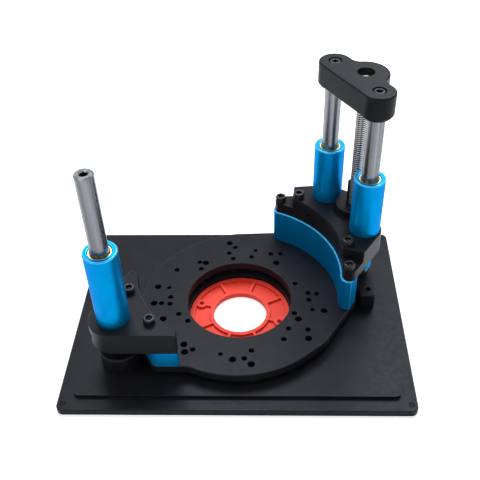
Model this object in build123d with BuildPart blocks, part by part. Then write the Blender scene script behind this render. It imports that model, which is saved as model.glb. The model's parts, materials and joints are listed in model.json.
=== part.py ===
from build123d import *
import os
from math import acos, asin, cos, degrees, hypot, radians, sin, sqrt

os.makedirs("parts", exist_ok=True)

# The router lift lies with its work face down, as it is set down on a bench to be serviced.
# Millimetres, +Z up. The origin is the centre of the insert plate on its work face.
# The lift is symmetric about a vertical plane through the router axis. In each piece's own
# sketch plane local X runs outward along that symmetry line, towards the lead screw, and
# local Y runs across it.

symmetry_angle = 31

# Insert plate
plate_length = 305
plate_width = 229
plate_thickness = 9.5
flange_thickness = 6.1
rabbet_width = 13
plate_corner_radius = 6
raised_corner_radius = 5
plate_edge_break = 0.8
corner_hole_inset_x = 5.5
corner_hole_inset_y = 7
cut_overrun = 1

# Fits
press_clearance = 0.03
running_clearance = 0.06
screw_clearance = 0.25
thread_clearance = 0.05
floor_clearance = 0.2

# Twist-lock insert ring
opening_radius = 47.3
ring_clearance = 0.3
ring_bore_radius = 25.3
ring_height = 5.4
ring_flange_lip = 3.7
ring_flange_thickness = 2
ring_inner_rim = 3.6
ring_outer_rim = 4
ring_pocket_depth = 2.5
ring_rib_width = 2.6
ring_rib_count = 8
ring_rib_angle = 27.5
wrench_hole_inset = 7.8
wrench_hole_radius = 2.2
wrench_boss_radius = 5.3
lug_count = 3
lug_reach = 3
lug_thickness = 1.5
lug_half_angle = 7
lug_play_angle = 1.5
lug_angle = 60
twist_angle = 20
lug_play = 0.25

# Posts
shaft_radius = 7.5
shaft_length = 201.5
shaft_edge_break = 0.8
shaft_thread_radius = 3
shaft_thread_depth = 18
shaft_mouth_radius = 3.9

# Lead screw, which stands a little further out than the two right posts
screw_lead = 9.54
screw_radius = 5
screw_root_depth = 1
screw_pitch = 2
thread_shares = ((1, 0.25), (0, 0.5), (0, 0.62), (1, 0.87))
screw_tip_rise = 2.5
drive_flats = 6.6
drive_length = 8
screw_end_below_yoke_top = 5
crank_hole_radius = 7
collar_width = 5
collar_thickness = 5
collar_gap = 0.2
bush_proud = 0.3

# Feet
foot_height = 18
foot_rim_clearance = 1
foot_inner_wall = 4.14
right_foot_post_wall = 4.1
right_foot_bush_wall = 5
right_foot_lug_wall = 5
right_foot_lug_lag = 8.24
right_foot_lug_spread = 24
lug_corner_radius = 3
lug_inner_corner_x = 7.9
lug_inner_corner_y = 1.9
lug_end_corner_x = 0.6
lug_end_corner_y = 6.6
lug_hole_break = 0.5
left_foot_collar_wall = 10
left_foot_screw_lag = 2
left_foot_screw_spread = 12.4
foot_thread_depth = 12
foot_screw_sink = 5
foot_edge_break = 0.8
foot_bush_wall = 4

# Carriage plate
carriage_gap = 6.5
carriage_thickness = 8
carriage_inset = 23
carriage_bore_radius = 48.8
flank_angle = 61.6
flank_setout = 2.9
shoulder_radius = 40
carriage_edge_break = 0.6
tongue_fillet = 15
large_hole_radius = 3.25
medium_hole_radius = 2.6
small_hole_radius = 2.15

# Bolt circles for router bases, as shares of the way from the carriage plate's bore to its rim
small_bolt_share = 0.48
four_bolt_share = 0.567
outer_four_bolt_share = 0.587
pair_bolt_share = 0.379
three_bolt_share = 0.239
inner_bolt_share = 0.176
pad_bolt_share = 0.131
middle_bolt_share = 0.478
large_bolt_share = 0.731
left_large_bolt_share = 0.59
inner_large_bolt_share = 0.272

# Arc bracket and bridge block
band_setback = 0.5
band_width = 15.6
band_screw_inset = 7
bridge_ledge = 1.4
horn_angle = 35.1
horn_screw_angle = 35.5
block_screw_angle = 24
bracket_height = 35
bracket_edge_break = 0.7
bridge_thickness = 22
bridge_tube_wall = 1.5
bridge_lobe_margin = 2.8
bridge_edge_break = 0.6
horn_drop = 11.5
step_distance = 11.3
step_corner_radius = 3
screw_passage_clearance = 1.5
post_passage_clearance = 0.7

# Left spacer and block
spacer_height = 18
left_block_thickness = 22
left_block_wall = 7.4
left_block_overhang = 1.5
left_side_angle = 31
left_side_length = 54
left_side_setback = 1.5
left_end_corner_radius = 1
tongue_side_length = 66
left_screw_angle = 12.4

# Guide tubes and their bushes
tube_radius = 14
tube_wall = 4.5
left_tube_length = 93
tube_seat = 3
tube_edge_break = 0.8
tube_shelf = 2
neck_length = 25
neck_wall = 1.5
neck_clearance = 0.4
bush_length = 20
bush_recess = 1
bush_edge_break = 0.2
bush_mouth_break = 1

# Lead nut
nut_flange_margin = 4.2
nut_flange_thickness = 7
nut_tower_height = 22
nut_tower_wall = 1.9
nut_tower_gap = 0.6
nut_tower_half_angle = 125
nut_spigot_wall = 4.5
nut_spigot_length = 9
nut_screw_inset = 3.5
nut_tube_gap = 0.63
nut_screw_count = 4

# Yoke
yoke_thickness = 20.5
yoke_pocket_depth = 9.5
yoke_post_wall = 6.5
yoke_boss_drop = 2
yoke_boss_break = 0.8
yoke_lobe_wall = 12.5
yoke_waist_fillet = 8
yoke_edge_fillet = 1.6
yoke_bush_wall = 3.5
yoke_bush_length = 14
yoke_head_play = 0.8
yoke_head_sink = 0.4

# Socket head screws, M6, M5 and M4, and the levelling and clamping set screws
m6_radius = 3
m6_head_radius = 5
m6_head_height = 6
m6_socket = 5
m6_key = 4
m5_radius = 2.5
m5_key = 3
m4_radius = 2
m4_head_radius = 3.5
m4_head_height = 4
m4_socket = 3
head_edge_break = 0.4
crown_taper = 45
socket_depth_share = 0.5
tapped_depth = 6
m6_countersink_radius = 6
m6_countersink_depth = 3.3
m5_countersink_radius = 5
m5_countersink_depth = 2.8
leveling_screw_length = 5
leveling_screw_rise = 0.8
clamp_screw_length = 4

# Heights of the stack, worked out from the pieces
carriage_bottom = plate_thickness + carriage_gap
carriage_top = carriage_bottom + carriage_thickness
bridge_bottom = carriage_top + bracket_height
bridge_top = bridge_bottom + bridge_thickness
horn_top = bridge_top - horn_drop
left_block_bottom = carriage_top + spacer_height
left_block_top = left_block_bottom + left_block_thickness
left_tube_bottom = left_block_bottom + tube_seat
tube_top = left_tube_bottom + left_tube_length
tube_shoulder = bridge_bottom + tube_seat
neck_bottom = tube_shoulder - neck_length
foot_top = plate_thickness + foot_height
shaft_top = plate_thickness + shaft_length
yoke_bottom = shaft_top - yoke_pocket_depth
yoke_top = yoke_bottom + yoke_thickness
boss_bottom = yoke_bottom - yoke_boss_drop
nut_top = bridge_top + nut_flange_thickness
collar_bottom = foot_top + bush_proud + collar_gap
collar_top = collar_bottom + collar_thickness
lug_bottom = ring_height - lug_thickness
bridge_middle = (bridge_bottom + bridge_top) / 2
left_block_middle = (left_block_bottom + left_block_top) / 2
clamp_reach = tube_radius + 2 * press_clearance
left_foot_screw_top = plate_thickness + foot_thread_depth - cut_overrun
right_foot_screw_top = foot_top - foot_screw_sink

# Radii round each post and round the lead screw
journal_radius = screw_radius - screw_root_depth
collar_radius = journal_radius + collar_width
foot_bush_radius = journal_radius + foot_bush_wall
yoke_bore_radius = journal_radius + yoke_bush_wall
screw_passage_radius = screw_radius + screw_passage_clearance
nut_spigot_radius = screw_radius + nut_spigot_wall
nut_screw_circle = nut_spigot_radius + nut_screw_inset
nut_flange_radius = nut_screw_circle + nut_flange_margin
tube_bore_radius = tube_radius - tube_wall
neck_bore_radius = shaft_radius + neck_clearance
neck_radius = neck_bore_radius + neck_wall
right_foot_post_radius = shaft_radius + right_foot_post_wall
right_foot_screw_radius = foot_bush_radius + right_foot_bush_wall
right_foot_lug_radius = m5_radius + right_foot_lug_wall
left_foot_collar_radius = shaft_radius + left_foot_collar_wall
bridge_post_radius = tube_radius + bridge_tube_wall
bridge_lobe_radius = nut_flange_radius + bridge_lobe_margin
left_block_end_radius = tube_radius + left_block_wall
yoke_post_radius = shaft_radius + yoke_post_wall
yoke_lobe_radius = yoke_bore_radius + yoke_lobe_wall

# Radii about the router axis, from the ring outward
ring_radius = opening_radius - ring_clearance
ring_flange_radius = opening_radius + ring_flange_lip
wrench_circle_radius = ring_radius - wrench_hole_inset
carriage_radius = plate_width / 2 - carriage_inset
band_inner_radius = carriage_radius + band_setback
band_radius = band_inner_radius + band_width / 2
band_outer_radius = band_inner_radius + band_width
band_screw_radius = band_inner_radius + band_screw_inset
bridge_inner_radius = band_inner_radius + bridge_ledge
bridge_horn_radius = band_width / 2 - bridge_ledge
flank_distance = carriage_radius + flank_setout
foot_inner_radius = band_outer_radius + foot_rim_clearance
post_circle_radius = foot_inner_radius + foot_inner_wall + shaft_radius

# The right posts stand just far enough apart for the nut's flange to lie between their tubes
post_to_screw = tube_radius + nut_tube_gap + nut_flange_radius
post_half_spacing = sqrt(post_to_screw**2 - screw_lead**2)
post_half_angle = degrees(asin(post_half_spacing / post_circle_radius))
screw_circle_radius = post_circle_radius * cos(radians(post_half_angle)) + screw_lead


def lift_plane(height, turn=0):
    """A level sketch plane whose X runs outward along the symmetry line, or turned from it."""
    angle = radians(symmetry_angle + turn)
    return Plane(origin=(0, 0, height), x_dir=(cos(angle), sin(angle), 0), z_dir=(0, 0, 1))


def polar(radius, angle):
    """A point of a lift plane at a radius and an angle from the symmetry line."""
    return (radius * cos(radians(angle)), radius * sin(radians(angle)))


rear_post = polar(post_circle_radius, post_half_angle)
front_post = polar(post_circle_radius, -post_half_angle)
left_post = polar(post_circle_radius, 180)
screw_axis = polar(screw_circle_radius, 0)
horn_places = [polar(band_radius, horn_angle), polar(band_radius, -horn_angle)]
horn_screw_places = [polar(band_screw_radius, side * horn_screw_angle) for side in (1, -1)]
block_screw_places = [polar(band_screw_radius, side * block_screw_angle) for side in (1, -1)]
left_screw_places = [polar(band_screw_radius, 180 + side * left_screw_angle) for side in (1, -1)]
right_foot_lugs = [
    (rear_post[0] - right_foot_lug_lag, rear_post[1] + right_foot_lug_spread),
    (front_post[0] - right_foot_lug_lag, front_post[1] - right_foot_lug_spread),
]
left_foot_screw_places = [
    (left_post[0] - left_foot_screw_lag, side * left_foot_screw_spread) for side in (1, -1)
]


def save(builder, label):
    """Label a finished piece and write it."""
    builder.part.label = label
    export_step(builder.part, f"parts/{label}.step")


def hull_of(circles):
    """The hull of circles given as (radius, centre), added to the sketch in use."""
    with BuildSketch(mode=Mode.PRIVATE) as outline:
        for radius, centre in circles:
            with Locations(centre):
                Circle(radius)
        make_hull()
    add(outline.sketch_local)


def pie(radius, start, sweep, centre=(0, 0), mode=Mode.ADD):
    """A sector about a centre, the router axis unless another is given, in the sketch in use."""
    with BuildLine() as edge:
        rim = CenterArc(centre, radius, start, sweep)
        Line(rim @ 0, centre)
        Line(centre, rim @ 1)
    make_face(edge.edges(), mode=mode)


def cut_holes(bottom, top, radius, places, turn=0):
    """Round holes through the piece in use, between two heights."""
    with BuildSketch(lift_plane(bottom, turn)) as holes:
        with Locations(*places):
            Circle(radius)
    extrude(holes.sketch, amount=top - bottom, mode=Mode.SUBTRACT)


def socket_screw(place, seat, length, shank, head_radius, head_height, socket):
    """A socket head screw pointing down, its head seated at a height."""
    with BuildSketch(lift_plane(seat)) as head:
        with Locations(place):
            Circle(head_radius)
    extrude(head.sketch, amount=head_height - head_edge_break)
    with BuildSketch(lift_plane(seat + head_height - head_edge_break)) as crown:
        with Locations(place):
            Circle(head_radius)
    extrude(crown.sketch, amount=head_edge_break, taper=crown_taper)
    with BuildSketch(lift_plane(seat - length)) as body:
        with Locations(place):
            Circle(shank)
    extrude(body.sketch, amount=length)
    depth = head_height * socket_depth_share
    with BuildSketch(lift_plane(seat + head_height - depth)) as key:
        with Locations(place):
            RegularPolygon(socket / 2, 6, major_radius=False)
    extrude(key.sketch, amount=depth, mode=Mode.SUBTRACT)


def cut_countersunk(place, shank, rim, depth):
    """A countersunk hole for a screw put in from the plate's work face."""
    cut_holes(0, plate_thickness, shank + screw_clearance, [place])
    with BuildSketch(lift_plane(0)) as mouth:
        with Locations(place):
            Circle(rim + screw_clearance)
    with BuildSketch(lift_plane(depth + floor_clearance)) as throat:
        with Locations(place):
            Circle(shank + screw_clearance)
    loft([mouth.sketch, throat.sketch], mode=Mode.SUBTRACT)


def countersunk_screw(place, top, shank, rim, depth, socket):
    """A countersunk screw pointing up, its head just inside the plate's work face."""
    with BuildSketch(lift_plane(floor_clearance)) as face:
        with Locations(place):
            Circle(rim)
    with BuildSketch(lift_plane(floor_clearance + depth)) as neck:
        with Locations(place):
            Circle(shank)
    loft([face.sketch, neck.sketch])
    extrude(neck.sketch, amount=top - floor_clearance - depth)
    with BuildSketch(lift_plane(floor_clearance)) as key:
        with Locations(place):
            RegularPolygon(socket / 2, 6, major_radius=False)
    extrude(key.sketch, amount=depth * socket_depth_share, mode=Mode.SUBTRACT)


def trim_flanks():
    """Cut the sketch in use along the two straight flanks of the carriage."""
    for side in (1, -1):
        centre = polar(flank_distance + plate_width / 2, side * flank_angle)
        with Locations(Location(centre, side * flank_angle)):
            Rectangle(plate_width, 2 * plate_width, mode=Mode.SUBTRACT)


def break_rim(builder, height, amount):
    """Chamfer the outer rim of the level face at a height."""
    level = [f for f in builder.faces().filter_by(Axis.Z) if abs(f.center().Z - height) < amount]
    chamfer(max(level, key=lambda f: f.area).outer_wire().edges(), amount)


def radial_plane(radius, angle, height):
    """An upright sketch plane at a radius and an angle, facing away from the router axis."""
    level = lift_plane(height, angle)
    return Plane(origin=level.from_local_coords(Vector(radius, 0, 0)), z_dir=level.x_dir)


# Insert plate, the piece that drops into the router table
with BuildPart() as insert_plate:
    with BuildSketch():
        RectangleRounded(plate_length, plate_width, plate_corner_radius)
    extrude(amount=flange_thickness)
    break_rim(insert_plate, flange_thickness, plate_edge_break)
    with BuildSketch(Plane.XY.offset(flange_thickness)):
        RectangleRounded(
            plate_length - 2 * rabbet_width, plate_width - 2 * rabbet_width, raised_corner_radius
        )
    extrude(amount=plate_thickness - flange_thickness)
    with BuildSketch():
        Circle(opening_radius)
    extrude(amount=plate_thickness, mode=Mode.SUBTRACT)
    # Recess for the ring's flange, the groove that its lugs turn in, and their three gates
    with BuildSketch():
        Circle(ring_flange_radius + ring_clearance)
    extrude(amount=ring_flange_thickness, mode=Mode.SUBTRACT)
    with BuildSketch(Plane.XY.offset(lug_bottom - lug_play)):
        Circle(opening_radius + lug_reach)
    extrude(amount=lug_thickness + 2 * lug_play, mode=Mode.SUBTRACT)
    for index in range(lug_count):
        gate_middle = lug_angle + twist_angle + index * 360 / lug_count
        gate_half_angle = lug_half_angle + lug_play_angle
        with BuildSketch():
            pie(opening_radius + lug_reach, gate_middle - gate_half_angle, 2 * gate_half_angle)
        extrude(amount=lug_bottom, mode=Mode.SUBTRACT)
    # Threaded corner holes for the levelling screws
    with BuildSketch():
        with GridLocations(
            plate_length - 2 * corner_hole_inset_x, plate_width - 2 * corner_hole_inset_y, 2, 2
        ):
            Circle(m5_radius)
    extrude(amount=plate_thickness, mode=Mode.SUBTRACT)
    # Crank hole, and countersunk holes for the screws of the posts and of the feet
    cut_holes(0, plate_thickness, crank_hole_radius, [screw_axis])
    for post in (left_post, rear_post, front_post):
        cut_countersunk(post, m6_radius, m6_countersink_radius, m6_countersink_depth)
    for place in right_foot_lugs + left_foot_screw_places:
        cut_countersunk(place, m5_radius, m5_countersink_radius, m5_countersink_depth)
save(insert_plate, "insert_plate")

# Insert ring, turned with a pin wrench in its two through holes
with BuildPart() as insert_ring:
    with BuildSketch(Plane.XY.offset(floor_clearance)):
        Circle(ring_flange_radius)
    extrude(amount=ring_flange_thickness - floor_clearance - lug_play)
    with BuildSketch(Plane.XY.offset(floor_clearance)):
        Circle(ring_radius)
    extrude(amount=ring_height - floor_clearance)
    for index in range(lug_count):
        with BuildSketch(Plane.XY.offset(lug_bottom)):
            pie(
                ring_radius + lug_reach - ring_clearance,
                lug_angle - lug_half_angle + index * 360 / lug_count,
                2 * lug_half_angle,
            )
        extrude(amount=lug_thickness)
    # Pockets between the two rims, the ribs and the two wrench bosses
    with BuildSketch(Plane.XY.offset(ring_height - ring_pocket_depth)):
        Circle(ring_radius - ring_outer_rim)
        Circle(ring_bore_radius + ring_inner_rim, mode=Mode.SUBTRACT)
        with PolarLocations(ring_radius / 2, ring_rib_count, start_angle=ring_rib_angle):
            Rectangle(ring_radius, ring_rib_width, mode=Mode.SUBTRACT)
        with PolarLocations(wrench_circle_radius, 2, start_angle=ring_rib_angle - 360 / ring_rib_count):
            Circle(wrench_boss_radius, mode=Mode.SUBTRACT)
    extrude(amount=ring_pocket_depth, mode=Mode.SUBTRACT)
    with BuildSketch():
        Circle(ring_bore_radius)
        with PolarLocations(wrench_circle_radius, 2, start_angle=ring_rib_angle - 360 / ring_rib_count):
            Circle(wrench_hole_radius)
    extrude(amount=ring_height, mode=Mode.SUBTRACT)
save(insert_ring, "insert_ring")

# Levelling screws, one in each corner of the plate, set with a key from the work face
leveling_corners = {
    "front_left": (-1, -1),
    "front_right": (1, -1),
    "rear_left": (-1, 1),
    "rear_right": (1, 1),
}
for corner, (side_x, side_y) in leveling_corners.items():
    corner_x = side_x * (plate_length / 2 - corner_hole_inset_x)
    corner_y = side_y * (plate_width / 2 - corner_hole_inset_y)
    with BuildPart() as leveling_screw:
        with BuildSketch(Plane.XY.offset(leveling_screw_rise)):
            with Locations((corner_x, corner_y)):
                Circle(m5_radius - running_clearance)
        extrude(amount=leveling_screw_length)
        chamfer(leveling_screw.edges().group_by(Axis.Z)[-1], head_edge_break)
        with BuildSketch(Plane.XY.offset(leveling_screw_rise)):
            with Locations((corner_x, corner_y)):
                RegularPolygon(m4_socket / 2, 6, major_radius=False)
        extrude(amount=leveling_screw_length * socket_depth_share, mode=Mode.SUBTRACT)
    save(leveling_screw, f"leveling_screw_{corner}")

# Right foot, which carries the two right posts and the lower bearing of the lead screw
with BuildPart() as right_foot:
    with BuildSketch(lift_plane(plate_thickness)):
        for post, lug, side in zip((rear_post, front_post), right_foot_lugs, (1, -1)):
            inner_corner = (lug[0] - lug_inner_corner_x, lug[1] + side * lug_inner_corner_y)
            end_corner = (lug[0] - lug_end_corner_x, lug[1] + side * lug_end_corner_y)
            lug_circles = [(right_foot_post_radius, post), (right_foot_lug_radius, lug)]
            hull_of(lug_circles + [(lug_corner_radius, inner_corner), (lug_corner_radius, end_corner)])
            hull_of([(right_foot_post_radius, post), (right_foot_screw_radius, screw_axis)])
        Circle(foot_inner_radius, mode=Mode.SUBTRACT)
    extrude(amount=foot_height)
    break_rim(right_foot, foot_top, foot_edge_break)
    cut_holes(plate_thickness, foot_top, shaft_radius + press_clearance, [rear_post, front_post])
    cut_holes(plate_thickness, foot_top, foot_bush_radius + press_clearance, [screw_axis])
    thread_radius = m5_radius + thread_clearance
    cut_holes(plate_thickness, foot_top, thread_radius, right_foot_lugs)
    mouths = [
        e
        for e in right_foot.edges().filter_by(GeomType.CIRCLE)
        if e.radius < thread_radius + thread_clearance and e.center().Z > foot_top - cut_overrun
    ]
    chamfer(mouths, lug_hole_break)
save(right_foot, "right_foot")

# Left foot, a collar round the left post
with BuildPart() as left_foot:
    with BuildSketch(lift_plane(plate_thickness)):
        with Locations(left_post):
            Circle(left_foot_collar_radius)
        Circle(foot_inner_radius, mode=Mode.SUBTRACT)
    extrude(amount=foot_height)
    break_rim(left_foot, foot_top, foot_edge_break)
    cut_holes(plate_thickness, foot_top, shaft_radius + press_clearance, [left_post])
    cut_holes(
        plate_thickness,
        plate_thickness + foot_thread_depth,
        m5_radius + thread_clearance,
        left_foot_screw_places,
    )
save(left_foot, "left_foot")

# Countersunk screws that hold the feet and draw down the posts, put in from the work face
with BuildPart() as foot_screws:
    for place in right_foot_lugs:
        countersunk_screw(
            place, right_foot_screw_top, m5_radius, m5_countersink_radius, m5_countersink_depth, m5_key
        )
    for place in left_foot_screw_places:
        countersunk_screw(
            place, left_foot_screw_top, m5_radius, m5_countersink_radius, m5_countersink_depth, m5_key
        )
save(foot_screws, "foot_screws")

with BuildPart() as post_screws:
    post_screw_top = plate_thickness + shaft_thread_depth - cut_overrun
    for post in (left_post, rear_post, front_post):
        countersunk_screw(
            post, post_screw_top, m6_radius, m6_countersink_radius, m6_countersink_depth, m6_key
        )
save(post_screws, "post_screws")

# The three ground posts, each tapped at both ends
for label, post in (("left_shaft", left_post), ("rear_shaft", rear_post), ("front_shaft", front_post)):
    with BuildPart() as shaft:
        with BuildSketch(lift_plane(plate_thickness)):
            with Locations(post):
                Circle(shaft_radius)
        extrude(amount=shaft_length)
        chamfer(shaft.edges().group_by(Axis.Z)[0], shaft_edge_break)
        chamfer(shaft.edges().group_by(Axis.Z)[-1], shaft_edge_break)
        thread_radius = shaft_thread_radius + thread_clearance
        cut_holes(plate_thickness, plate_thickness + shaft_thread_depth, thread_radius, [post])
        cut_holes(shaft_top - shaft_thread_depth, shaft_top, thread_radius, [post])
        mouths = [
            e
            for e in shaft.edges().filter_by(GeomType.CIRCLE)
            if e.radius < shaft_mouth_radius
            and (e.center().Z > shaft_top - cut_overrun or e.center().Z < plate_thickness + cut_overrun)
        ]
        chamfer(mouths, shaft_mouth_radius - thread_radius)
    save(shaft, label)

# Yoke, which ties the tops of the two right posts and carries the upper end of the lead screw
with BuildPart() as yoke:
    with BuildSketch(lift_plane(yoke_bottom)) as yoke_outline:
        hull_of([(yoke_post_radius, rear_post), (yoke_post_radius, front_post)])
        with Locations(screw_axis):
            Circle(yoke_lobe_radius)
        back_line = rear_post[0] + yoke_post_radius
        waist = [v for v in yoke_outline.vertices() if abs(v.X - back_line) < yoke_edge_fillet]
        waist = [v for v in waist if abs(v.Y) < yoke_lobe_radius]
        fillet(waist, yoke_waist_fillet)
    extrude(amount=yoke_thickness)
    fillet(yoke.edges().group_by(Axis.Z)[-1], yoke_edge_fillet)
    fillet(yoke.edges().group_by(Axis.Z)[0], yoke_edge_fillet)
    # A boss under each end, round the post
    with BuildSketch(lift_plane(boss_bottom)):
        with Locations(rear_post, front_post):
            Circle(yoke_post_radius - yoke_edge_fillet)
    extrude(amount=yoke_boss_drop + yoke_edge_fillet)
    chamfer(yoke.edges().group_by(Axis.Z)[0], yoke_boss_break)
    cut_holes(boss_bottom, shaft_top, shaft_radius + press_clearance, [rear_post, front_post])
    cut_holes(shaft_top, yoke_top, m6_radius + screw_clearance, [rear_post, front_post])
    cut_holes(
        yoke_top - m6_head_height - yoke_head_sink,
        yoke_top,
        m6_head_radius + yoke_head_play,
        [rear_post, front_post],
    )
    cut_holes(yoke_bottom, yoke_top, yoke_bore_radius, [screw_axis])
save(yoke, "yoke")

with BuildPart() as yoke_screws:
    yoke_screw_seat = yoke_top - m6_head_height - yoke_head_sink
    yoke_screw_length = yoke_screw_seat - shaft_top + shaft_thread_depth - cut_overrun
    for post in (rear_post, front_post):
        socket_screw(
            post, yoke_screw_seat, yoke_screw_length, m6_radius, m6_head_radius, m6_head_height, m6_socket
        )
save(yoke_screws, "yoke_screws")

with BuildPart() as yoke_bush:
    with BuildSketch(lift_plane(yoke_bottom)):
        with Locations(screw_axis):
            Circle(yoke_bore_radius - press_clearance)
            Circle(journal_radius + running_clearance, mode=Mode.SUBTRACT)
    extrude(amount=yoke_bush_length)
save(yoke_bush, "yoke_bush")

with BuildPart() as foot_bush:
    with BuildSketch(lift_plane(plate_thickness)):
        with Locations(screw_axis):
            Circle(foot_bush_radius)
            Circle(journal_radius + running_clearance, mode=Mode.SUBTRACT)
    extrude(amount=foot_height + bush_proud)
save(foot_bush, "foot_bush")

# Lead screw: drive hexagon at the work face, lower journal, threaded length, upper journal
with BuildPart() as lead_screw:
    drive_top = screw_tip_rise + drive_length
    thread_bottom = collar_top
    thread_top = yoke_bottom - collar_gap
    journal_top = yoke_top - screw_end_below_yoke_top
    with BuildSketch(lift_plane(screw_tip_rise)):
        with Locations(screw_axis):
            RegularPolygon(drive_flats / 2, 6, major_radius=False)
    extrude(amount=drive_length)
    with BuildSketch(lift_plane(drive_top)):
        with Locations(screw_axis):
            Circle(journal_radius)
    extrude(amount=journal_top - drive_top)
    chamfer(lead_screw.edges().group_by(Axis.Z)[-1], head_edge_break)
    # Thread crests, drawn as rings one pitch apart
    level = lift_plane(0)
    screw_section = Plane(
        origin=level.from_local_coords(Vector(*screw_axis)), x_dir=level.x_dir, z_dir=-level.y_dir
    )
    turn_count = int((thread_top - thread_bottom) / screw_pitch)
    profile = [(0, thread_bottom), (screw_radius, thread_bottom)]
    for turn_index in range(turn_count):
        for crest, share in thread_shares:
            radius = screw_radius - screw_root_depth * (1 - crest)
            profile.append((radius, thread_bottom + (turn_index + share) * screw_pitch))
    profile.append((screw_radius, thread_top))
    profile.append((0, thread_top))
    with BuildSketch(screw_section):
        with BuildLine():
            Polyline(*profile, close=True)
        make_face()
    revolve(axis=Axis(screw_section.origin, (0, 0, 1)))
save(lead_screw, "lead_screw")

with BuildPart() as thrust_collar:
    with BuildSketch(lift_plane(collar_bottom)):
        with Locations(screw_axis):
            Circle(collar_radius)
            Circle(journal_radius + press_clearance, mode=Mode.SUBTRACT)
    extrude(amount=collar_thickness - press_clearance)
    chamfer(thrust_collar.edges().group_by(Axis.Z)[-1].sort_by(SortBy.RADIUS)[-1], head_edge_break)
save(thrust_collar, "thrust_collar")


def left_corners(length, setback):
    """Circles at the inner ends of the left block's two straight sides, or set back from them."""
    angle = radians(left_side_angle)
    along = length - left_end_corner_radius
    circles = []
    for side in (1, -1):
        for out in (left_block_end_radius - setback - left_end_corner_radius, 0):
            x = left_post[0] + along * cos(angle) - out * sin(angle)
            y = along * sin(angle) + out * cos(angle)
            circles.append((left_end_corner_radius, (x, side * y)))
    return circles


# The spacer and the tongue under it end in round caps on the band's middle line, each touching
# the line of a straight side
cap_distance = (
    post_circle_radius * sin(radians(left_side_angle))
    + left_block_end_radius
    - left_side_setback
    - band_width / 2
)
cap_angle = degrees(asin(cap_distance / band_radius)) - left_side_angle
left_caps = [(band_width / 2, polar(band_radius, 180 + side * cap_angle)) for side in (1, -1)]

# Carriage plate, which the router base bolts to
with BuildPart() as carriage_plate:
    with BuildSketch(lift_plane(carriage_bottom)) as carriage_outline:
        corners = [(band_width / 2, place) for place in horn_places]
        for side in (1, -1):
            shoulder = polar(flank_distance - shoulder_radius, side * flank_angle)
            corners.append((shoulder_radius, shoulder))
        hull_of([(carriage_radius, (0, 0))] + corners)
        pie(band_outer_radius, -horn_angle, 2 * horn_angle)
        trim_flanks()
        hull_of(left_caps + left_corners(tongue_side_length, left_side_setback))
        joins = [
            v
            for v in carriage_outline.vertices()
            if v.X < 0 and abs(hypot(v.X, v.Y) - carriage_radius) < press_clearance
        ]
        fillet(joins, tongue_fillet)
    extrude(amount=carriage_thickness)
    break_rim(carriage_plate, carriage_top, carriage_edge_break)
    # Bolt patterns: circle, hole radius, and angles from the plate's long axis
    router_patterns = [
        (small_bolt_share, small_hole_radius, (78, 168, 258, 348)),
        (four_bolt_share, medium_hole_radius, (5, 95, 185, 275)),
        (outer_four_bolt_share, medium_hole_radius, (58, 148, 238, 328)),
        (pair_bolt_share, medium_hole_radius, (101, 281, 129, 309, 178.5, 358.5, 6.3, 186.3)),
        (three_bolt_share, medium_hole_radius, (80, 200, 320)),
        (inner_bolt_share, medium_hole_radius, (98.1, 133.6, 20.7)),
        (pad_bolt_share, medium_hole_radius, (211.8, 339.6)),
        (middle_bolt_share, medium_hole_radius, (64.6,)),
        (large_bolt_share, large_hole_radius, (99, 168.8, 184.6, 235.1, 279, 321.6, 348.7)),
        (left_large_bolt_share, large_hole_radius, (200.9, 230.3, 267.1)),
        (inner_large_bolt_share, large_hole_radius, (125.2, 54.6, 334.3)),
    ]
    for share, hole_radius, angles in router_patterns:
        circle_radius = carriage_bore_radius + share * (carriage_radius - carriage_bore_radius)
        places = [polar(circle_radius, angle) for angle in angles]
        cut_holes(carriage_bottom, carriage_top, hole_radius, places, turn=-symmetry_angle)
    cut_holes(carriage_bottom, carriage_top, carriage_bore_radius, [(0, 0)])
    # Tapped holes for the screws of the bridge and of the left block
    tapped_places = horn_screw_places + block_screw_places + left_screw_places
    cut_holes(carriage_top - tapped_depth, carriage_top, m6_radius + thread_clearance, tapped_places)
save(carriage_plate, "carriage_plate")

# Arc bracket, the tall curved spacer under the bridge block
band_arc = CenterArc((0, 0), band_radius, -horn_angle, 2 * horn_angle)
with BuildPart() as arc_bracket:
    with BuildSketch(lift_plane(carriage_top)):
        SlotArc(band_arc, band_width)
        trim_flanks()
    extrude(amount=bracket_height)
    break_rim(arc_bracket, bridge_bottom, bracket_edge_break)
    cut_holes(
        carriage_top, bridge_bottom, m6_radius + screw_clearance, horn_screw_places + block_screw_places
    )
save(arc_bracket, "arc_bracket")

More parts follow.
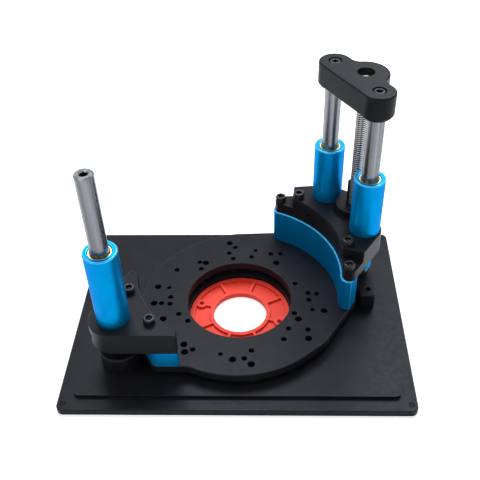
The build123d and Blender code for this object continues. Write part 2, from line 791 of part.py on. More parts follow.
# Bridge block, which holds the two right guide tubes and the lead nut
with BuildPart() as bridge_block:
    bridge_circles = [(bridge_horn_radius, place) for place in horn_places]
    bridge_circles += [(bridge_post_radius, rear_post), (bridge_post_radius, front_post)]
    bridge_circles.append((bridge_lobe_radius, screw_axis))
    with BuildSketch(lift_plane(bridge_bottom)):
        hull_of(bridge_circles)
        Circle(bridge_inner_radius, mode=Mode.SUBTRACT)
    extrude(amount=horn_top - bridge_bottom)
    # The upper layer stops short of the horns at a step square to the line from horn to post
    horn_to_post = (rear_post[0] - horn_places[0][0], rear_post[1] - horn_places[0][1])
    step_turn = degrees(acos(horn_to_post[0] / hypot(*horn_to_post)))
    with BuildSketch(lift_plane(horn_top)) as bridge_upper:
        hull_of(bridge_circles)
        Circle(bridge_inner_radius, mode=Mode.SUBTRACT)
        for place, side in zip(horn_places, (1, -1)):
            with Locations(Location((place[0], place[1]), -side * step_turn)):
                with Locations((step_distance - band_radius / 2, 0)):
                    Rectangle(band_radius, band_radius, mode=Mode.SUBTRACT)
        inner_corners = [
            v for v in bridge_upper.vertices() if abs(hypot(v.X, v.Y) - bridge_inner_radius) < press_clearance
        ]
        fillet(inner_corners, step_corner_radius)
    extrude(amount=horn_drop)
    break_rim(bridge_block, bridge_top, bridge_edge_break)
    cut_holes(bridge_bottom, tube_shoulder, neck_radius + press_clearance, [rear_post, front_post])
    cut_holes(tube_shoulder, bridge_top, tube_radius + press_clearance, [rear_post, front_post])
    cut_holes(bridge_bottom, bridge_top, screw_passage_radius, [screw_axis])
    cut_holes(bridge_top - nut_spigot_length, bridge_top, nut_spigot_radius + press_clearance, [screw_axis])
    cut_holes(
        bridge_bottom, bridge_top, m6_radius + screw_clearance, horn_screw_places + block_screw_places
    )
    # Counterbored holes from below for the nut's screws
    with BuildSketch(lift_plane(bridge_bottom)):
        with Locations(screw_axis):
            with PolarLocations(nut_screw_circle, nut_screw_count):
                Circle(m4_radius + screw_clearance)
    extrude(amount=bridge_thickness, mode=Mode.SUBTRACT)
    with BuildSketch(lift_plane(bridge_bottom)):
        with Locations(screw_axis):
            with PolarLocations(nut_screw_circle, nut_screw_count):
                Circle(m4_head_radius + screw_clearance)
    extrude(amount=m4_head_height + floor_clearance, mode=Mode.SUBTRACT)
    # Threaded holes for the screws that clamp the tubes, seen on the concave face
    for angle in (post_half_angle, -post_half_angle):
        with BuildSketch(radial_plane(0, angle, bridge_middle)):
            Circle(m4_radius + thread_clearance)
        extrude(amount=post_circle_radius, mode=Mode.SUBTRACT)
save(bridge_block, "bridge_block")

with BuildPart() as bridge_screws:
    for place in horn_screw_places:
        length = horn_top - carriage_top + tapped_depth - cut_overrun
        socket_screw(place, horn_top, length, m6_radius, m6_head_radius, m6_head_height, m6_socket)
    for place in block_screw_places:
        length = bridge_top - carriage_top + tapped_depth - cut_overrun
        socket_screw(place, bridge_top, length, m6_radius, m6_head_radius, m6_head_height, m6_socket)
save(bridge_screws, "bridge_screws")

# Left spacer and left block
with BuildPart() as left_spacer:
    with BuildSketch(lift_plane(carriage_top)):
        hull_of(left_caps + left_corners(left_side_length, left_side_setback))
        Circle(band_inner_radius, mode=Mode.SUBTRACT)
    extrude(amount=spacer_height)
    cut_holes(carriage_top, left_block_bottom, m6_radius + screw_clearance, left_screw_places)
save(left_spacer, "left_spacer")

with BuildPart() as left_block:
    with BuildSketch(lift_plane(left_block_bottom)):
        hull_of([(left_block_end_radius, left_post)] + left_corners(left_side_length, 0))
        Circle(band_inner_radius - left_block_overhang, mode=Mode.SUBTRACT)
    extrude(amount=left_block_thickness)
    break_rim(left_block, left_block_top, bridge_edge_break)
    cut_holes(left_block_bottom, left_block_top, shaft_radius + post_passage_clearance, [left_post])
    cut_holes(left_tube_bottom, left_block_top, tube_radius + press_clearance, [left_post])
    cut_holes(left_block_bottom, left_block_top, m6_radius + screw_clearance, left_screw_places)
    with BuildSketch(radial_plane(post_circle_radius, 180, left_block_middle)):
        Circle(m4_radius + thread_clearance)
    extrude(amount=post_circle_radius, mode=Mode.SUBTRACT)
save(left_block, "left_block")

with BuildPart() as left_block_screws:
    for place in left_screw_places:
        length = left_block_top - carriage_top + tapped_depth - cut_overrun
        socket_screw(place, left_block_top, length, m6_radius, m6_head_radius, m6_head_height, m6_socket)
save(left_block_screws, "left_block_screws")

# Set screws that clamp the three guide tubes in their blocks
with BuildPart() as clamp_screws:
    clamp_ends = [
        radial_plane(post_circle_radius - clamp_reach - clamp_screw_length, angle, bridge_middle)
        for angle in (post_half_angle, -post_half_angle)
    ]
    clamp_ends.append(radial_plane(post_circle_radius + clamp_reach, 180, left_block_middle))
    for plane in clamp_ends:
        with BuildSketch(plane):
            Circle(m4_radius)
        extrude(amount=clamp_screw_length)
save(clamp_screws, "clamp_screws")

# Guide tubes, each with two plain bushes. The right tubes go through the bridge block in a neck.
guide_tubes = (
    ("left", left_post, left_tube_bottom, left_tube_bottom + bush_recess),
    ("rear", rear_post, tube_shoulder, tube_shoulder + tube_shelf),
    ("front", front_post, tube_shoulder, tube_shoulder + tube_shelf),
)
for side, post, seat, lower_bush in guide_tubes:
    with BuildPart() as guide_tube:
        with BuildSketch(lift_plane(seat)):
            with Locations(post):
                Circle(tube_radius)
        extrude(amount=tube_top - seat)
        cut_holes(lower_bush, tube_top, tube_bore_radius, [post])
        chamfer(guide_tube.edges().group_by(Axis.Z)[-1], tube_edge_break)
        if seat == left_tube_bottom:
            cut_holes(seat, lower_bush, tube_bore_radius, [post])
        else:
            with BuildSketch(lift_plane(neck_bottom)):
                with Locations(post):
                    Circle(neck_radius)
            extrude(amount=neck_length)
            cut_holes(neck_bottom, lower_bush, neck_bore_radius, [post])
    save(guide_tube, f"{side}_tube")
    bush_places = {"lower": lower_bush, "upper": tube_top - bush_recess - bush_length}
    for end, bush_height in bush_places.items():
        with BuildPart() as bush:
            with BuildSketch(lift_plane(bush_height)):
                with Locations(post):
                    Circle(tube_bore_radius - press_clearance)
                    Circle(shaft_radius + running_clearance, mode=Mode.SUBTRACT)
            extrude(amount=bush_length)
            rims = bush.edges().group_by(Axis.Z)[-1].sort_by(SortBy.RADIUS)
            chamfer(rims[-1], bush_edge_break)
            chamfer(rims[0], bush_mouth_break)
        save(bush, f"{side}_bush_{end}")

# Lead nut: a flange on the bridge block, and a half sleeve that shields the thread
with BuildPart() as lead_nut:
    tower_inner_radius = screw_radius + nut_tower_gap
    tower_outer_radius = tower_inner_radius + nut_tower_wall
    with BuildSketch(lift_plane(bridge_top)):
        with Locations(screw_axis):
            Circle(nut_flange_radius)
    extrude(amount=nut_flange_thickness)
    break_rim(lead_nut, nut_top, bridge_edge_break)
    with BuildSketch(lift_plane(nut_top)):
        with Locations(screw_axis):
            Circle(tower_outer_radius)
            Circle(tower_inner_radius, mode=Mode.SUBTRACT)
        opening_sweep = 360 - 2 * nut_tower_half_angle
        pie(2 * tower_outer_radius, nut_tower_half_angle, opening_sweep, screw_axis, Mode.SUBTRACT)
    extrude(amount=nut_tower_height)
    with BuildSketch(lift_plane(bridge_top - nut_spigot_length)):
        with Locations(screw_axis):
            Circle(nut_spigot_radius)
    extrude(amount=nut_spigot_length)
    cut_holes(
        bridge_top - nut_spigot_length, nut_top, screw_radius + running_clearance, [screw_axis]
    )
    with BuildSketch(lift_plane(bridge_top)):
        with Locations(screw_axis):
            with PolarLocations(nut_screw_circle, nut_screw_count):
                Circle(m4_radius + thread_clearance)
    extrude(amount=tapped_depth, mode=Mode.SUBTRACT)
save(lead_nut, "lead_nut")

with BuildPart() as nut_screws:
    nut_screw_top = bridge_top + tapped_depth - cut_overrun
    with BuildSketch(lift_plane(bridge_bottom + floor_clearance)):
        with Locations(screw_axis):
            with PolarLocations(nut_screw_circle, nut_screw_count):
                Circle(m4_head_radius)
    extrude(amount=m4_head_height)
    with BuildSketch(lift_plane(bridge_bottom + floor_clearance)):
        with Locations(screw_axis):
            with PolarLocations(nut_screw_circle, nut_screw_count):
                Circle(m4_radius)
    extrude(amount=nut_screw_top - bridge_bottom - floor_clearance)
    with BuildSketch(lift_plane(bridge_bottom + floor_clearance)):
        with Locations(screw_axis):
            with PolarLocations(nut_screw_circle, nut_screw_count):
                RegularPolygon(m4_socket / 2, 6, major_radius=False)
    extrude(amount=m4_head_height * socket_depth_share, mode=Mode.SUBTRACT)
save(nut_screws, "nut_screws")
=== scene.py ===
import json
from math import cos, floor, pi, radians, sin, tau

import bmesh
import bpy
from mathutils import Matrix, Vector


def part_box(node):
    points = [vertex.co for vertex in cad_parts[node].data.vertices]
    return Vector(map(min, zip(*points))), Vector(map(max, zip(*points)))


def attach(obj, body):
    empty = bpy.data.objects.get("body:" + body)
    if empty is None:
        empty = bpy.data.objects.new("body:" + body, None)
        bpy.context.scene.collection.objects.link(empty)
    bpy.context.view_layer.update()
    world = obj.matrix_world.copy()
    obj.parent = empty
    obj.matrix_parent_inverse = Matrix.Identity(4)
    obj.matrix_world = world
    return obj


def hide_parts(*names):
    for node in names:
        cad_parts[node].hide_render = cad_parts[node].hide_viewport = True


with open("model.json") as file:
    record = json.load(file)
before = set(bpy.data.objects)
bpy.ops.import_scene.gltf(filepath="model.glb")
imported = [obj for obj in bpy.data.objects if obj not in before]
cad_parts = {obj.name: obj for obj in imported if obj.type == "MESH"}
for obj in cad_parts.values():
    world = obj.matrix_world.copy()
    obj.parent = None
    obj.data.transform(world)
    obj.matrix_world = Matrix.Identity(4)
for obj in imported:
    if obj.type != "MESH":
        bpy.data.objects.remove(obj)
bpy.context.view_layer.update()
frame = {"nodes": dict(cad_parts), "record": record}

# Metres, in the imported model's frame. The lift lies work face down on a white floor.
nodes = frame["nodes"]
slots = {part["node"]: part["material_slot"] for part in frame["record"]["subparts"]}

# Camera, fitted to the plate's corners, the posts and the holes in the photograph
image_side = 480
sensor_width = 36
focal_pixels = 716.17
centre_pixel_x = 250.79
centre_pixel_y = 246.49
camera_place = Vector((0.02863, -0.47388, 0.50217))
camera_pitch = radians(41.105)
camera_yaw = radians(-2.034)
camera_roll = radians(1.415)
nearest_seen = 0.01

# Floor and light
floor_side = 2.4
floor_drop = 0.00005
floor_white = 0.92
floor_glow = 0.35
world_light = 0.55
white = (1, 1, 1)
sky_tint = (0.84, 0.91, 1.0)
lift_middle = (0, 0, 0.05)
plate_right = (0.05, -0.05, 0.02)
plate_left = (-0.05, -0.05, 0.02)

# Edges of the machined pieces
edge_angle = radians(32)
edge_segments = 2
sharp_angle = radians(40)
flat_angle = radians(0.2)
weld_distance = 0.000002
fine_break = 0.00025
bold_break = 0.0004
ledge_break = 0.0007
edge_breaks = {
    "insert_plate": bold_break,
    "carriage_plate": bold_break,
    "bridge_block": bold_break,
    "left_block": bold_break,
    "left_spacer": bold_break,
    "arc_bracket": ledge_break,
    "right_foot": fine_break,
    "left_foot": fine_break,
    "lead_nut": fine_break,
    "insert_ring": fine_break,
    "left_tube": fine_break,
    "rear_tube": fine_break,
    "front_tube": fine_break,
}

# Lead screw. A corner of the thread's section is on the crest or not, at a share of the pitch.
thread_crest = 0.005
thread_root = 0.004
thread_pitch = 0.002
thread_corners = ((True, 0.22), (False, 0.42), (False, 0.70), (True, 0.90))
thread_steps = 40
thread_weld = 0.000001
journal_radius = 0.004
hexagon_flats = 0.0066
hexagon_length = 0.008
end_chamfer = 0.0005

# M6 socket head screws
screw_thread = 0.006
screw_key = 0.005
socket_depth = screw_thread / 2
drill_point = screw_key / 4
drill_tip = screw_key / 20
head_corner = 0.0005
knurl_depth = 0.00014
knurl_count = 36
turned_steps = 72

# Part of its range that a noise mostly keeps to
noise_low = 0.3
noise_high = 0.7


def middle(node):
    """The centre of a CAD node's box."""
    low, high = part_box(node)
    return (low + high) / 2


def top(node):
    """The height of a CAD node's highest corner."""
    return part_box(node)[1].z


def bottom(node):
    """The height of a CAD node's lowest corner."""
    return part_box(node)[0].z


def finish_mesh(name, mesh, body, material):
    """Make a piece of a bmesh, smooth but for its sharp edges, riding on a body."""
    bmesh.ops.recalc_face_normals(mesh, faces=mesh.faces)
    data = bpy.data.meshes.new(name)
    mesh.to_mesh(data)
    mesh.free()
    for polygon in data.polygons:
        polygon.use_smooth = True
    data.set_sharp_from_angle(angle=sharp_angle)
    piece = bpy.data.objects.new(name, data)
    bpy.context.scene.collection.objects.link(piece)
    data.materials.append(material)
    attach(piece, body)
    return piece


def add_rings(mesh, centre, rings):
    """Join rings of points about an upright axis, each a height and a radius, and close the ends.

    A radius is a number, or a function of the angle.
    """
    loops = []
    for height, outline in rings:
        loop = []
        for step in range(turned_steps):
            angle = tau * step / turned_steps
            radius = outline(angle) if callable(outline) else outline
            place = (centre.x + radius * cos(angle), centre.y + radius * sin(angle), height)
            loop.append(mesh.verts.new(place))
        loops.append(loop)
    for lower, upper in zip(loops, loops[1:]):
        for step in range(turned_steps):
            after = (step + 1) % turned_steps
            mesh.faces.new((lower[step], lower[after], upper[after], upper[step]))
    mesh.faces.new(loops[0])
    mesh.faces.new(loops[-1])


def hexagon(flats):
    """Radius of a hexagon of that width over its flats, at an angle."""
    return lambda angle: flats / 2 / cos((angle + pi / 6) % (pi / 3) - pi / 6)


def knurled(radius):
    """Radius of a straight knurl, at an angle."""
    tooth = tau / knurl_count
    return lambda angle: radius - knurl_depth * (round(2 * angle / tooth) % 2)


# Materials
def object_noise(tree, scale, detail, stretch):
    """A noise texture on the piece's own coordinates, in features per metre."""
    place = tree.nodes.new("ShaderNodeTexCoord")
    mapping = tree.nodes.new("ShaderNodeMapping")
    mapping.inputs["Scale"].default_value = stretch
    noise = tree.nodes.new("ShaderNodeTexNoise")
    noise.inputs["Scale"].default_value = scale
    noise.inputs["Detail"].default_value = detail
    tree.links.new(place.outputs["Object"], mapping.inputs["Vector"])
    tree.links.new(mapping.outputs["Vector"], noise.inputs["Vector"])
    return noise.outputs["Fac"]


def vary_colour(tree, shader, scale, detail, dark, light, stretch=(1, 1, 1)):
    """Let a noise run the base colour between two colours."""
    ramp = tree.nodes.new("ShaderNodeValToRGB")
    ramp.color_ramp.elements[0].position = noise_low
    ramp.color_ramp.elements[0].color = (*dark, 1)
    ramp.color_ramp.elements[1].position = noise_high
    ramp.color_ramp.elements[1].color = (*light, 1)
    tree.links.new(object_noise(tree, scale, detail, stretch), ramp.inputs["Fac"])
    tree.links.new(ramp.outputs["Color"], shader.inputs["Base Color"])


def vary_roughness(tree, shader, scale, detail, low, high, stretch=(1, 1, 1)):
    """Let a noise run the roughness between two values."""
    spread = tree.nodes.new("ShaderNodeMapRange")
    spread.inputs["From Min"].default_value = noise_low
    spread.inputs["From Max"].default_value = noise_high
    spread.inputs["To Min"].default_value = low
    spread.inputs["To Max"].default_value = high
    tree.links.new(object_noise(tree, scale, detail, stretch), spread.inputs["Value"])
    tree.links.new(spread.outputs["Result"], shader.inputs["Roughness"])


def add_bump(tree, shader, scale, detail, strength, height, stretch=(1, 1, 1)):
    """Let a noise raise the surface."""
    bump = tree.nodes.new("ShaderNodeBump")
    bump.inputs["Strength"].default_value = strength
    bump.inputs["Distance"].default_value = height
    tree.links.new(object_noise(tree, scale, detail, stretch), bump.inputs["Height"])
    tree.links.new(bump.outputs["Normal"], shader.inputs["Normal"])


def new_material(name, settings, colour, roughness, bump=None):
    """A node material with its shader's own settings, and noises in its colour and surface."""
    material = bpy.data.materials.new(name)
    material.use_nodes = True
    tree = material.node_tree
    shader = tree.nodes["Principled BSDF"]
    for socket, value in settings.items():
        shader.inputs[socket].default_value = value
    vary_colour(tree, shader, **colour)
    vary_roughness(tree, shader, **roughness)
    if bump:
        add_bump(tree, shader, **bump)
    return material


finishes = {
    # Blasted and black anodised aluminium, satin, with a faint cloudiness
    "black_anodised": {
        "settings": {"IOR": 1.18},
        "colour": {
            "scale": 60, "detail": 3,
            "dark": (0.006, 0.0063, 0.0080), "light": (0.009, 0.0094, 0.0118),
        },
        "roughness": {"scale": 220, "detail": 4, "low": 0.36, "high": 0.44},
        "bump": {"scale": 5200, "detail": 2, "strength": 0.25, "height": 0.00003},
    },
    # Paler black on the broken edges: a painted highlight along them
    "black_edge_highlight": {
        "settings": {"IOR": 1.25},
        "colour": {
            "scale": 260, "detail": 3,
            "dark": (0.013, 0.0135, 0.016), "light": (0.032, 0.033, 0.037),
        },
        "roughness": {"scale": 400, "detail": 3, "low": 0.30, "high": 0.40},
    },
    # Bright blue anodised aluminium over a fine turned surface
    "blue_anodised": {
        "settings": {"Metallic": 0.65, "IOR": 1.1, "Specular Tint": (0.02, 0.42, 0.80, 1)},
        "colour": {
            "scale": 90, "detail": 3,
            "dark": (0.0, 0.220, 0.51), "light": (0.0, 0.250, 0.57),
        },
        "roughness": {
            "scale": 350, "detail": 4, "low": 0.32, "high": 0.38, "stretch": (1, 1, 4),
        },
        "bump": {
            "scale": 900, "detail": 2, "strength": 0.02, "height": 0.00002, "stretch": (1, 1, 8),
        },
    },
    # Paler blue on the broken edges: a painted highlight along them
    "blue_edge_highlight": {
        "settings": {"Metallic": 0.5, "IOR": 1.3},
        "colour": {
            "scale": 260, "detail": 3,
            "dark": (0.09, 0.50, 0.78), "light": (0.16, 0.60, 0.86),
        },
        "roughness": {"scale": 400, "detail": 3, "low": 0.28, "high": 0.38},
    },
    # Hard chrome over a ground post, its base colour in soft bands along it that are painted
    # reflections, with faint marks round it
    "ground_chrome": {
        "settings": {"Metallic": 1},
        "colour": {
            "scale": 230, "detail": 2, "stretch": (1, 1, 0.02),
            "dark": (0.10, 0.101, 0.107), "light": (0.25, 0.254, 0.265),
        },
        "roughness": {
            "scale": 700, "detail": 3, "low": 0.24, "high": 0.32, "stretch": (1, 1, 6),
        },
        "bump": {
            "scale": 260, "detail": 2, "strength": 0.10, "height": 0.00002, "stretch": (1, 1, 30),
        },
    },
    # Rolled bright steel of the lead screw
    "bright_steel": {
        "settings": {"Metallic": 0.8},
        "colour": {
            "scale": 500, "detail": 3,
            "dark": (0.70, 0.70, 0.68), "light": (0.82, 0.82, 0.79),
        },
        "roughness": {"scale": 900, "detail": 3, "low": 0.30, "high": 0.38},
        "bump": {"scale": 1500, "detail": 2, "strength": 0.04, "height": 0.00002},
    },
    # Dark steel in the lead screw's thread grooves: painted shade in them
    "groove_shade_steel": {
        "settings": {"Metallic": 0.8},
        "colour": {
            "scale": 600, "detail": 3,
            "dark": (0.030, 0.029, 0.026), "light": (0.085, 0.083, 0.075),
        },
        "roughness": {"scale": 900, "detail": 3, "low": 0.34, "high": 0.48},
        "bump": {"scale": 3000, "detail": 2, "strength": 0.08, "height": 0.00002},
    },
    # Turned bronze of the plain bushes
    "bush_bronze": {
        "settings": {"Metallic": 1},
        "colour": {
            "scale": 400, "detail": 3,
            "dark": (0.84, 0.64, 0.28), "light": (0.94, 0.77, 0.40),
        },
        "roughness": {"scale": 900, "detail": 3, "low": 0.24, "high": 0.36},
        "bump": {"scale": 3600, "detail": 2, "strength": 0.10, "height": 0.00002},
    },
    # Black oxide on the screws, slightly oily
    "black_steel": {
        "settings": {"Metallic": 0.55, "IOR": 1.3},
        "colour": {
            "scale": 500, "detail": 3,
            "dark": (0.018, 0.018, 0.020), "light": (0.034, 0.034, 0.036),
        },
        "roughness": {"scale": 1500, "detail": 3, "low": 0.26, "high": 0.38},
        "bump": {"scale": 5000, "detail": 2, "strength": 0.15, "height": 0.00002},
    },
    # Dull black of the levelling screws, made near black: painted shade of their filled sockets
    # and of their holes
    "dull_black_and_socket_shade": {
        "settings": {"IOR": 1.2},
        "colour": {
            "scale": 500, "detail": 3,
            "dark": (0.003, 0.003, 0.004), "light": (0.008, 0.008, 0.009),
        },
        "roughness": {"scale": 1500, "detail": 3, "low": 0.50, "high": 0.62},
    },
    # Moulded coral plastic with a fine satin texture
    "coral_plastic": {
        "settings": {"IOR": 1.25},
        "colour": {
            "scale": 70, "detail": 3,
            "dark": (0.66, 0.042, 0.023), "light": (0.74, 0.056, 0.031),
        },
        "roughness": {"scale": 500, "detail": 4, "low": 0.42, "high": 0.52},
        "bump": {"scale": 2600, "detail": 3, "strength": 0.20, "height": 0.00004},
    },
}
materials = {name: new_material(name, **finish) for name, finish in finishes.items()}
# Paler materials for the bevels' faces, a painted highlight along the broken edges
edge_highlight_materials = {
    "black_anodised": materials["black_edge_highlight"],
    "blue_anodised": materials["blue_edge_highlight"],
}

for node, piece in nodes.items():
    piece.data.materials.clear()
    # The levelling screws take the near-black finish, painted shade of their sockets and holes
    if node.startswith("leveling_screw"):
        piece.data.materials.append(materials["dull_black_and_socket_shade"])
    else:
        piece.data.materials.append(materials[slots[node]])


# Broken edges of the machined pieces
def smooth_group():
    """A modifier group that drops the imported normals and smooths all but sharp edges."""
    group = bpy.data.node_groups.new("smooth_by_edge", "GeometryNodeTree")
    for way in ("INPUT", "OUTPUT"):
        group.interface.new_socket("Geometry", in_out=way, socket_type="NodeSocketGeometry")
    start = group.nodes.new("NodeGroupInput")
    end = group.nodes.new("NodeGroupOutput")
    drop = group.nodes.new("GeometryNodeRemoveAttribute")
    drop.inputs["Name"].default_value = "custom_normal"
    faces = group.nodes.new("GeometryNodeSetShadeSmooth")
    faces.domain = "FACE"
    edges = group.nodes.new("GeometryNodeSetShadeSmooth")
    edges.domain = "EDGE"
    angle = group.nodes.new("GeometryNodeInputMeshEdgeAngle")
    compare = group.nodes.new("FunctionNodeCompare")
    compare.data_type = "FLOAT"
    compare.operation = "LESS_THAN"
    compare.inputs["B"].default_value = sharp_angle
    group.links.new(start.outputs[0], drop.inputs["Geometry"])
    group.links.new(drop.outputs["Geometry"], faces.inputs["Geometry"])
    group.links.new(faces.outputs["Geometry"], edges.inputs["Geometry"])
    group.links.new(angle.outputs["Unsigned Angle"], compare.inputs["A"])
    group.links.new(compare.outputs["Result"], edges.inputs["Shade Smooth"])
    group.links.new(edges.outputs["Geometry"], end.inputs[0])
    return group


def machined(node, width, smoothing):
    """Break a CAD node's edges with a small bevel, and smooth its round walls."""
    piece = nodes[node]
    weld = piece.modifiers.new("weld", "WELD")
    weld.merge_threshold = weld_distance
    flat = piece.modifiers.new("flat", "DECIMATE")
    flat.decimate_type = "DISSOLVE"
    flat.angle_limit = flat_angle
    edges = piece.modifiers.new("edges", "BEVEL")
    edges.limit_method = "ANGLE"
    edges.angle_limit = edge_angle
    edges.width = width
    edges.segments = edge_segments
    # The bevel's faces take the paler edge material, a painted highlight
    if slots[node] in edge_highlight_materials:
        piece.data.materials.append(edge_highlight_materials[slots[node]])
        edges.material = 1
    smooth = piece.modifiers.new("smooth", "NODES")
    smooth.node_group = smoothing
    normals = piece.modifiers.new("normals", "WEIGHTED_NORMAL")
    normals.keep_sharp = True


smooth_by_edge = smooth_group()
for node, width in edge_breaks.items():
    machined(node, width, smooth_by_edge)


# Socket head screws with knurled heads
def screw_places(node):
    """Lowest and highest corner of each screw of a CAD node, told apart by its mesh's joins."""
    mesh = bmesh.new()
    mesh.from_mesh(nodes[node].data)
    bmesh.ops.remove_doubles(mesh, verts=mesh.verts, dist=weld_distance)
    seen = set()
    places = []
    for start in mesh.verts:
        if start in seen:
            continue
        seen.add(start)
        group = [start]
        for vertex in group:
            for edge in vertex.link_edges:
                after = edge.other_vert(vertex)
                if after not in seen:
                    seen.add(after)
                    group.append(after)
        low = Vector([min(vertex.co[axis] for vertex in group) for axis in range(3)])
        high = Vector([max(vertex.co[axis] for vertex in group) for axis in range(3)])
        places.append((low, high))
    mesh.free()
    return places


def socket_screws(node, body):
    """Replace a CAD node's screws, each with a knurled head and a chamfered socket."""
    mesh = bmesh.new()
    mouth = screw_key / 2 / cos(pi / 6) + head_corner / 2
    for low, high in screw_places(node):
        head = (high.x - low.x) / 2
        seat = high.z - screw_thread
        add_rings(mesh, (low + high) / 2, [
            (low.z, screw_thread / 2 - head_corner),
            (low.z + head_corner, screw_thread / 2),
            (seat, screw_thread / 2),
            (seat, head - head_corner / 2),
            (seat + head_corner / 2, head - knurl_depth),
            (seat + 2 * head_corner, knurled(head)),
            (high.z - 3 * head_corner, knurled(head)),
            (high.z - 2 * head_corner, head - knurl_depth),
            (high.z - head_corner, head - knurl_depth - head_corner / 4),
            (high.z - head_corner / 3, head - head_corner),
            (high.z, head - 2 * head_corner),
            (high.z, mouth),
            (high.z - head_corner, hexagon(screw_key)),
            (high.z - socket_depth, hexagon(screw_key)),
            (high.z - socket_depth - drill_point, drill_tip),
        ])
    piece = finish_mesh(f"{node}_knurled", mesh, body, materials["black_steel"])
    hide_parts(node)


for node in ("bridge_screws", "left_block_screws"):
    socket_screws(node, "carriage")
socket_screws("yoke_screws", "base")


# Lead screw with its true helix
def add_helix(mesh, centre, low, high):
    """A right-hand thread between two heights, its grooves in the second material, a dark one
    that paints shade into them.

    It has a strip of points for each corner of the section in each turn. It starts a turn
    early and ends a turn late, and what passes the two heights is drawn in to the root there.
    """
    turns = floor((high - low) / thread_pitch)
    strips = []
    for turn in range(-1, turns + 1):
        for crest, share in thread_corners:
            strip = []
            for step in range(thread_steps + 1):
                angle = tau * step / thread_steps
                height = low + (turn + share + step / thread_steps) * thread_pitch
                inside = low < height < high
                height = min(max(height, low), high)
                reach = thread_crest if crest and inside else thread_root
                place = (centre.x + reach * cos(angle), centre.y + reach * sin(angle), height)
                strip.append(mesh.verts.new(place))
            strips.append((crest, strip))
    for (lower_crest, lower), (upper_crest, upper) in zip(strips, strips[1:]):
        in_groove = not (lower_crest and upper_crest)
        for step in range(thread_steps):
            face = mesh.faces.new((lower[step], lower[step + 1], upper[step + 1], upper[step]))
            face.material_index = int(in_groove)
    bmesh.ops.remove_doubles(mesh, verts=mesh.verts, dist=thread_weld)


def lead_screw():
    """Drive hexagon, lower journal, helical thread and upper journal."""
    mesh = bmesh.new()
    centre = middle("thrust_collar")
    thread_low = top("thrust_collar")
    thread_high = bottom("yoke_bush") - end_chamfer
    low = bottom("lead_screw")
    high = top("lead_screw")
    add_rings(mesh, centre, [
        (low, hexagon(hexagon_flats - 2 * end_chamfer)),
        (low + end_chamfer, hexagon(hexagon_flats)),
        (low + hexagon_length - end_chamfer, hexagon(hexagon_flats)),
        (low + hexagon_length, journal_radius),
        (thread_low, journal_radius),
    ])
    add_rings(mesh, centre, [
        (thread_high, journal_radius),
        (high - end_chamfer, journal_radius),
        (high, journal_radius - end_chamfer),
    ])
    add_helix(mesh, centre, thread_low, thread_high)
    piece = finish_mesh("lead_screw_helix", mesh, "screw", materials["bright_steel"])
    # The second material darkens the thread's grooves: painted shade
    piece.data.materials.append(materials["groove_shade_steel"])
    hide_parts("lead_screw")


lead_screw()


# Floor, light and camera
def straight_rays(tree):
    """1 for rays from the camera, a shiny surface or through a clear one, and 0 for light."""
    rays = tree.nodes.new("ShaderNodeLightPath")
    value = rays.outputs["Is Camera Ray"]
    for kind in ("Is Glossy Ray", "Is Transmission Ray"):
        either = tree.nodes.new("ShaderNodeMath")
        either.operation = "MAXIMUM"
        tree.links.new(value, either.inputs[0])
        tree.links.new(rays.outputs[kind], either.inputs[1])
        value = either.outputs[0]
    return value


def white_floor():
    """A white floor that keeps the object's shadow."""
    mesh = bmesh.new()
    bmesh.ops.create_grid(mesh, x_segments=1, y_segments=1, size=floor_side / 2)
    data = bpy.data.meshes.new("floor")
    mesh.to_mesh(data)
    mesh.free()
    piece = bpy.data.objects.new("floor", data)
    piece.location.z = -floor_drop
    bpy.context.scene.collection.objects.link(piece)
    material = bpy.data.materials.new("floor_white")
    material.use_nodes = True
    tree = material.node_tree
    tree.nodes.clear()
    paper = tree.nodes.new("ShaderNodeBsdfDiffuse")
    paper.inputs["Color"].default_value = (floor_white, floor_white, floor_white, 1)
    glow = tree.nodes.new("ShaderNodeEmission")
    seen = tree.nodes.new("ShaderNodeMath")
    seen.operation = "MULTIPLY"
    seen.inputs[1].default_value = floor_glow
    both = tree.nodes.new("ShaderNodeAddShader")
    out = tree.nodes.new("ShaderNodeOutputMaterial")
    tree.links.new(straight_rays(tree), seen.inputs[0])
    tree.links.new(seen.outputs[0], glow.inputs["Strength"])
    tree.links.new(paper.outputs[0], both.inputs[0])
    tree.links.new(glow.outputs[0], both.inputs[1])
    tree.links.new(both.outputs[0], out.inputs["Surface"])
    data.materials.append(material)


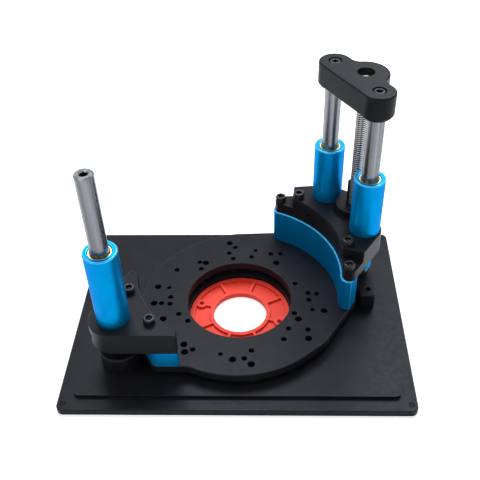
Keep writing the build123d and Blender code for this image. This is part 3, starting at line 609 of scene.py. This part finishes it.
def white_world():
    """A soft even light, white where the camera or a reflection sees it."""
    world = bpy.data.worlds.new("studio")
    bpy.context.scene.world = world
    world.use_nodes = True
    tree = world.node_tree
    tree.nodes.clear()
    light = tree.nodes.new("ShaderNodeBackground")
    light.inputs["Strength"].default_value = world_light
    backdrop = tree.nodes.new("ShaderNodeBackground")
    backdrop.inputs["Color"].default_value = (*white, 1)
    mix = tree.nodes.new("ShaderNodeMixShader")
    out = tree.nodes.new("ShaderNodeOutputWorld")
    tree.links.new(straight_rays(tree), mix.inputs["Fac"])
    tree.links.new(light.outputs[0], mix.inputs[1])
    tree.links.new(backdrop.outputs[0], mix.inputs[2])
    tree.links.new(mix.outputs[0], out.inputs["Surface"])


def softbox(name, place, aim, side, power, colour):
    """A square area light facing a point."""
    data = bpy.data.lights.new(name, "AREA")
    data.shape = "SQUARE"
    data.size = side
    data.energy = power
    data.color = colour
    lamp = bpy.data.objects.new(name, data)
    lamp.location = place
    lamp.rotation_euler = (Vector(aim) - Vector(place)).to_track_quat("-Z", "Y").to_euler()
    bpy.context.scene.collection.objects.link(lamp)


def photo_camera():
    """The camera at the photograph's place, with its small roll and off-centre axis."""
    data = bpy.data.cameras.new("camera")
    data.sensor_width = sensor_width
    data.lens = focal_pixels / image_side * sensor_width
    data.shift_x = -(centre_pixel_x - image_side / 2) / image_side
    data.shift_y = (centre_pixel_y - image_side / 2) / image_side
    data.clip_start = nearest_seen
    forward = Vector((
        sin(camera_yaw) * cos(camera_pitch),
        cos(camera_yaw) * cos(camera_pitch),
        -sin(camera_pitch),
    ))
    level_right = Vector((cos(camera_yaw), -sin(camera_yaw), 0))
    level_down = forward.cross(level_right)
    right = cos(camera_roll) * level_right + sin(camera_roll) * level_down
    down = cos(camera_roll) * level_down - sin(camera_roll) * level_right
    turn = Matrix((right, -down, -forward)).transposed()
    camera = bpy.data.objects.new("camera", data)
    camera.matrix_world = Matrix.Translation(camera_place) @ turn.to_4x4()
    bpy.context.scene.collection.objects.link(camera)
    bpy.context.scene.camera = camera


white_floor()
white_world()
softbox("key", (-0.7, -0.5, 1.5), lift_middle, side=1.0, power=7.5, colour=white)
softbox("fill", (1.0, -0.8, 1.0), lift_middle, side=0.8, power=2, colour=white)
softbox("sheen_right", (0.45, 0.75, 1.15), plate_right, side=0.6, power=14, colour=sky_tint)
softbox("sheen_left", (-0.22, 0.62, 1.30), plate_left, side=0.55, power=14, colour=sky_tint)
photo_camera()
bpy.context.scene.view_settings.view_transform = "Standard"
